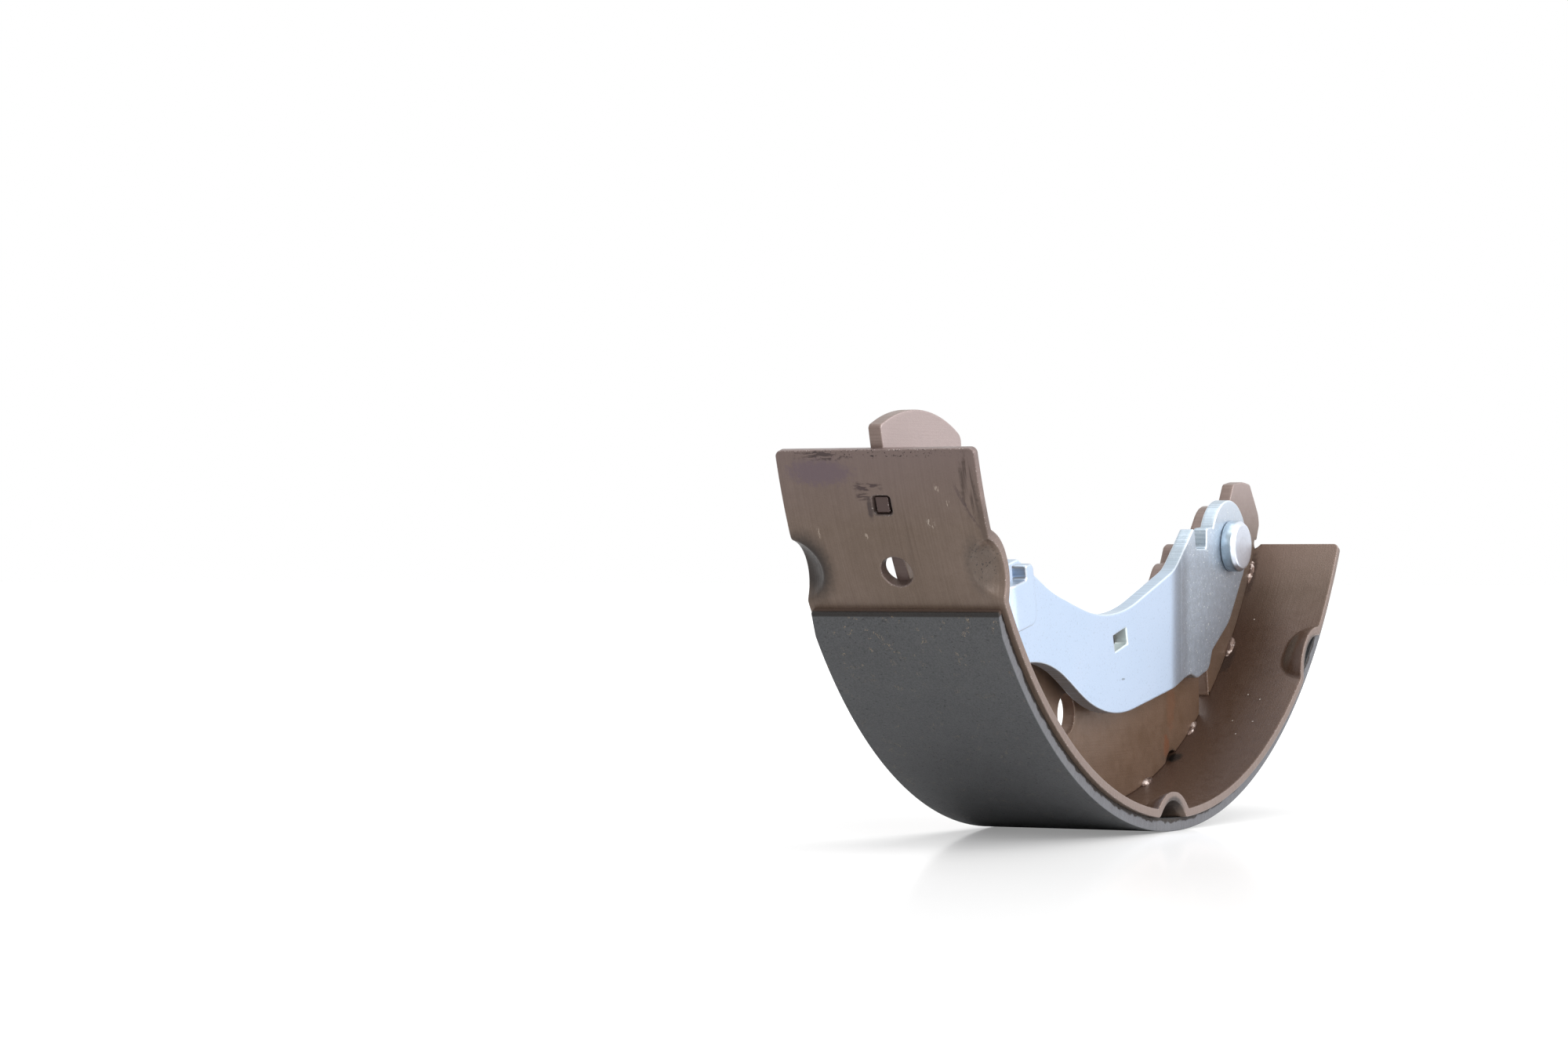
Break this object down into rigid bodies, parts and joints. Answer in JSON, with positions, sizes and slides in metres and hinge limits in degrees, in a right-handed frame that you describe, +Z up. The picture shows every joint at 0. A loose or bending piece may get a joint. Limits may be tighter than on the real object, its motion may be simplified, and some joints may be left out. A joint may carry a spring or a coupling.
{
  "type": "drum brake shoe",
  "caption": "Drum brake shoe with bonded friction lining, welded web and a cranked parking brake lever that swings on a riveted pin.",
  "frame": {"origin": "middle of the footprint, on the lowest line of the lining's round outside", "axes": "+X along the chord, from the long bare end to the end with the lever pin; +Y along the drum axis, away from the side that carries the lever; +Z up, from the lining toward the drum axis. The drum axis is the line x = 4.3 mm, z = 127 mm."},
  "size_m": [0.229, 0.0506, 0.1018],
  "materials": {
    "shoe_paint": "satin",
    "lining": "matte",
    "weld_metal": "satin",
    "zinc_plate": "satin"
  },
  "bodies": {
    "shoe": {"platform": "shoe_paint", "web": "shoe_paint", "friction_lining": "lining", "projection_welds": "weld_metal", "lever_pin": "zinc_plate"},
    "lever": {"parking_lever": "zinc_plate"}
  },
  "joints": [
    {"name": "lever_pivot", "type": "hinge", "parent": "shoe", "child": "lever", "pos_m": [0.08353, -0.00385, 0.06999], "axis": [0, 1, 0], "range_deg": [0, 30]}
  ]
}
